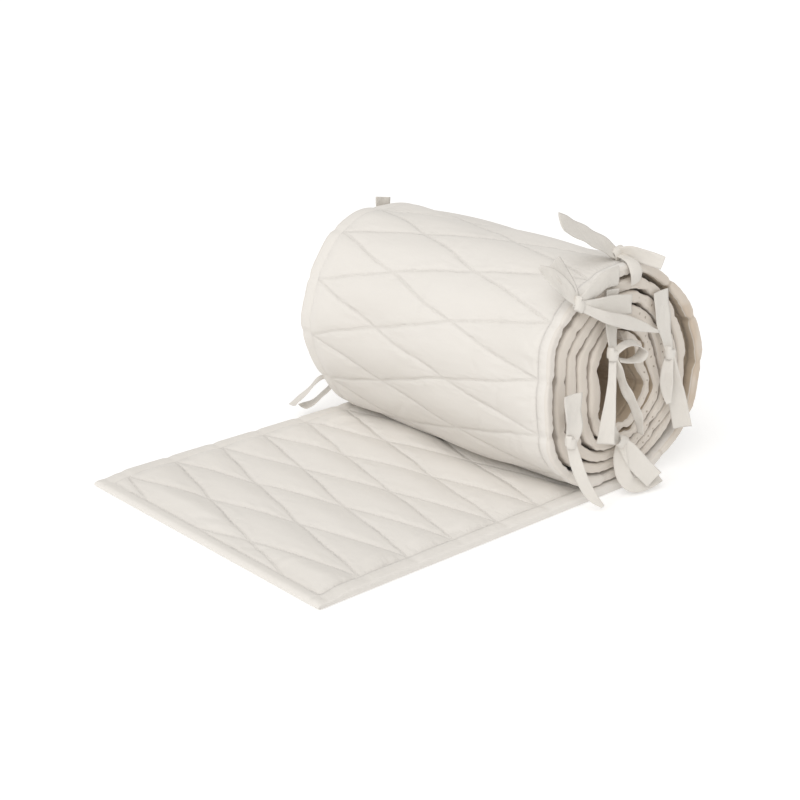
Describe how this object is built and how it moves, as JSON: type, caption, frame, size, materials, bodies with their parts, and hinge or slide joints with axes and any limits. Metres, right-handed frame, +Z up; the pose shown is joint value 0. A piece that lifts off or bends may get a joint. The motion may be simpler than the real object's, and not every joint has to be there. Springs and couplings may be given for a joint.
{
  "type": "crib bumper",
  "caption": "Padded cotton crib bumper with diamond quilting, partly rolled up, with knotted ribbon ties along its long edges.",
  "frame": {"origin": "centre of the flat spot that the roll rests on, on the floor, in the middle of the panel's width", "axes": "+X along the panel away from its free end, +Y along the roll's axis away from the edge with most of the ties, +Z up"},
  "size_m": [0.4283, 0.3401, 0.2395],
  "materials": {
    "quilted_cotton": "matt ivory woven cotton over wadding, stitched in diamonds",
    "cotton_ribbon": "matt ivory plain-woven cotton ribbon"
  },
  "bodies": {
    "root": {"bumper": "quilted_cotton", "tie_near_top": "cotton_ribbon", "tie_near_upper": "cotton_ribbon", "tie_near_middle": "cotton_ribbon", "tie_near_right": "cotton_ribbon", "tie_near_bottom": "cotton_ribbon", "tie_near_left": "cotton_ribbon", "tie_far_top": "cotton_ribbon", "tie_far_low": "cotton_ribbon"}
  },
  "joints": []
}
